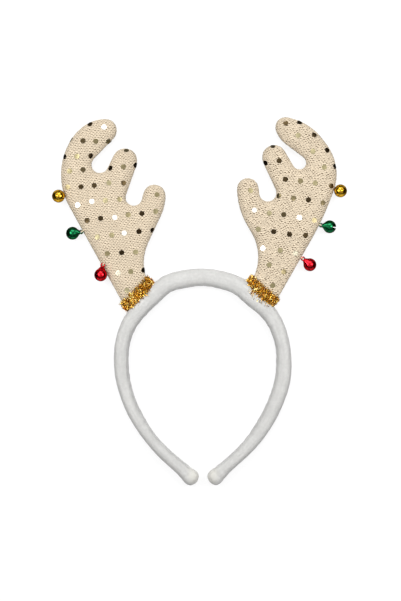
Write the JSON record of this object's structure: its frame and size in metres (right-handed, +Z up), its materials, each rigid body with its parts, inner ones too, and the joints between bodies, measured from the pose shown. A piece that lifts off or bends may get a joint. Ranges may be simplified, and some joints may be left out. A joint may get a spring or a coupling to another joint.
{
  "type": "reindeer antler headband",
  "caption": "Padded open hoop headband with stuffed reindeer antlers of sequined knit, gold tinsel collars and small round bells along their outer edges.",
  "frame": {"origin": "centre of the footprint, on the table that the headband lies on", "axes": "+X to the viewer's right, +Y from the hoop's open ends to the antler tips, +Z up from the table, towards the front of the antlers"},
  "size_m": [0.2268, 0.2842, 0.016],
  "materials": {
    "white_nap": "short soft nap",
    "beige_knit": "openwork knit with foil dots",
    "gold_foil": "metallised film strips",
    "gold_bell": "polished gold plate",
    "green_bell": "glossy metallic paint",
    "red_bell": "glossy metallic paint",
    "clapper_steel": "plain"
  },
  "bodies": {
    "root": {"headband": "white_nap", "left_antler": "beige_knit", "right_antler": "beige_knit", "left_tinsel": "gold_foil", "right_tinsel": "gold_foil", "left_gold_bell": "gold_bell", "left_green_bell": "green_bell", "left_red_bell": "red_bell", "right_gold_bell": "gold_bell", "right_green_bell": "green_bell", "right_red_bell": "red_bell", "left_gold_clapper": "clapper_steel", "left_green_clapper": "clapper_steel", "left_red_clapper": "clapper_steel", "right_gold_clapper": "clapper_steel", "right_green_clapper": "clapper_steel", "right_red_clapper": "clapper_steel"}
  },
  "joints": []
}
